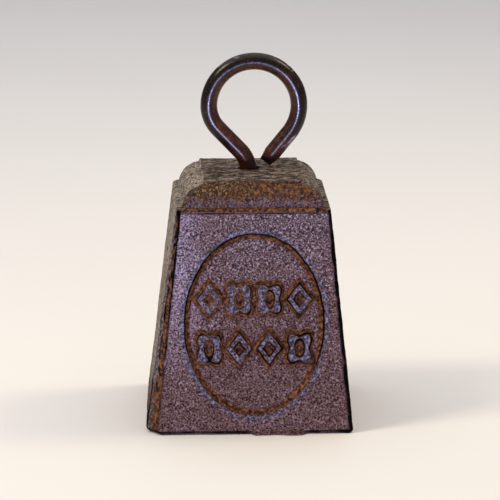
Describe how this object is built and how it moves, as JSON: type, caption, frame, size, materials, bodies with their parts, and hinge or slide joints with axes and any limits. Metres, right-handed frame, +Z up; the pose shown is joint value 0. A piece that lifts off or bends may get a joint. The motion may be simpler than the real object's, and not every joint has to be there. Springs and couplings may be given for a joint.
{
  "type": "door stop",
  "caption": "Tapered hollow cast-iron door stop weight with a moulded crown, sunk oval panel with raised ornament, and a bent-rod ring handle bolted through the top.",
  "frame": {"origin": "centre of the foot, on the floor", "axes": "+Z up, -Y out of the decorated front face, +X to the right seen from the front"},
  "size_m": [0.1011, 0.0868, 0.1772],
  "materials": {
    "body_iron": "rough sand-cast iron, dark brown lacquer, rust brown in the hollows",
    "browned_bar": "smooth glossy bronze-brown lacquer over a round steel bar",
    "washer_steel": "dull zinc plate",
    "nut_steel": "dull zinc plate"
  },
  "bodies": {
    "root": {"body_casting": "body_iron", "ring_handle": "browned_bar", "flat_washer": "washer_steel", "hex_nut": "nut_steel"}
  },
  "joints": []
}
